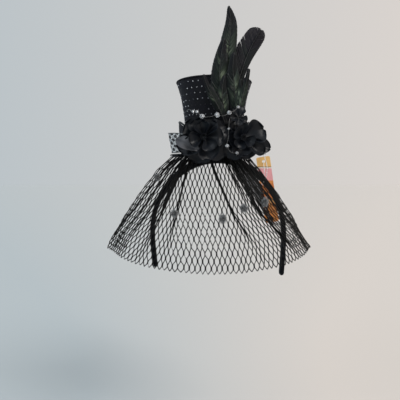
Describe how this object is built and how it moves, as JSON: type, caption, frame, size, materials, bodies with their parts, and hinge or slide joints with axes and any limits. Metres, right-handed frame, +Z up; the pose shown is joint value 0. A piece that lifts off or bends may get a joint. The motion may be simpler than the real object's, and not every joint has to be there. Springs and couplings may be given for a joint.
{
  "type": "fascinator headpiece",
  "caption": "Mini top hat on a covered headband, with feathers, satin flowers, a dotted bow, a bead garland and a lift-up net veil.",
  "frame": {"origin": "highest point of the headband's inner face, where the band rests on top of the head", "axes": "+Z up as worn, -Y towards the wearer's front (the veil's side), +X towards the wearer's left"},
  "size_m": [0.2443, 0.1449, 0.3031],
  "materials": {
    "black_velvet": "velvet pile",
    "band_core": "smooth",
    "hat_fabric": "woven with silver metallic points",
    "buckram": "stiffened open weave",
    "felt": "felted",
    "feather": "dyed feather vane with a green sheen",
    "satin": "satin",
    "net": "hexagonal net",
    "dotted_sheer": "sheer organza with dots",
    "chenille": "chenille",
    "clear_bead": "faceted clear",
    "silver_thread": "metallic thread",
    "tag_card": "printed card",
    "tag_nylon": "clear nylon"
  },
  "bodies": {
    "headpiece": {"band_arch_sleeve": "black_velvet", "band_arch_core": "band_core", "felt_base_pad": "felt", "hat_base_plate": "buckram", "crown_shell": "buckram", "crown_cover": "hat_fabric", "crown_top_disc": "hat_fabric", "crown_top_piping": "hat_fabric", "hat_brim": "hat_fabric", "hat_brim_binding": "satin", "feather_binding": "satin", "veil_gather_binding": "satin", "broad_feather": "feather", "middle_feather": "feather", "short_feather": "feather", "right_hackle": "feather", "outer_hackle": "feather", "left_hackle": "feather", "left_flower_outer_petals": "satin", "left_flower_middle_petals": "satin", "left_flower_inner_petals": "satin", "left_flower_bud": "satin", "right_flower_outer_petals": "satin", "right_flower_middle_petals": "satin", "right_flower_inner_petals": "satin", "right_flower_bud": "satin", "rosette_petals": "satin", "left_bow_loop": "dotted_sheer", "right_bow_loop": "dotted_sheer", "bow_knot": "dotted_sheer", "bow_tail": "dotted_sheer", "garland_thread": "silver_thread", "drop_thread": "silver_thread", "garland_bead_1": "clear_bead", "garland_bead_2": "clear_bead", "garland_bead_3": "clear_bead", "garland_bead_4": "clear_bead", "garland_bead_5": "clear_bead", "garland_bead_6": "clear_bead", "drop_bead_7": "clear_bead", "drop_bead_8": "clear_bead", "drop_bead_9": "clear_bead", "veil_gathers": "net", "tag_loop": "tag_nylon"},
    "left_arm": {"left_arm_sleeve": "black_velvet", "left_arm_core": "band_core", "left_tip_cap": "black_velvet"},
    "right_arm": {"right_arm_sleeve": "black_velvet", "right_arm_core": "band_core", "right_tip_cap": "black_velvet"},
    "veil": {"veil_net": "net", "veil_dot_1": "chenille", "veil_dot_2": "chenille", "veil_dot_3": "chenille", "veil_dot_4": "chenille", "veil_dot_5": "chenille"},
    "tag": {"tag_card": "tag_card"},
    "tall_plume": {"tall_feather": "feather"},
    "rounded_plume": {"rounded_feather": "feather"}
  },
  "joints": [
    {"name": "left_arm_flex", "type": "hinge", "parent": "headpiece", "child": "left_arm", "pos_m": [-0.07102, 0, -0.04555], "axis": [0, 1, 0], "range_deg": [-3, 5], "stiffness_Nm_per_rad": 0.3},
    {"name": "right_arm_flex", "type": "hinge", "parent": "headpiece", "child": "right_arm", "pos_m": [0.06774, 0, -0.03779], "axis": [0, -1, 0], "range_deg": [-3, 5], "stiffness_Nm_per_rad": 0.3},
    {"name": "veil_lift", "type": "hinge", "parent": "headpiece", "child": "veil", "pos_m": [0, -0.049, -0.0055], "axis": [-1, 0, 0], "range_deg": [0, 70]},
    {"name": "tag_swing", "type": "hinge", "parent": "headpiece", "child": "tag", "pos_m": [0.061, 0.034, 0.0035], "axis": [0, 1, 0], "range_deg": [-12, 35]},
    {"name": "tall_feather_sway", "type": "hinge", "parent": "headpiece", "child": "tall_plume", "pos_m": [0.01, -0.046, 0.044], "axis": [0, 1, 0], "range_deg": [-8, 8], "stiffness_Nm_per_rad": 0.02},
    {"name": "rounded_feather_sway", "type": "hinge", "parent": "headpiece", "child": "rounded_plume", "pos_m": [0.01, -0.046, 0.044], "axis": [0, 1, 0], "range_deg": [-8, 8], "stiffness_Nm_per_rad": 0.02}
  ]
}
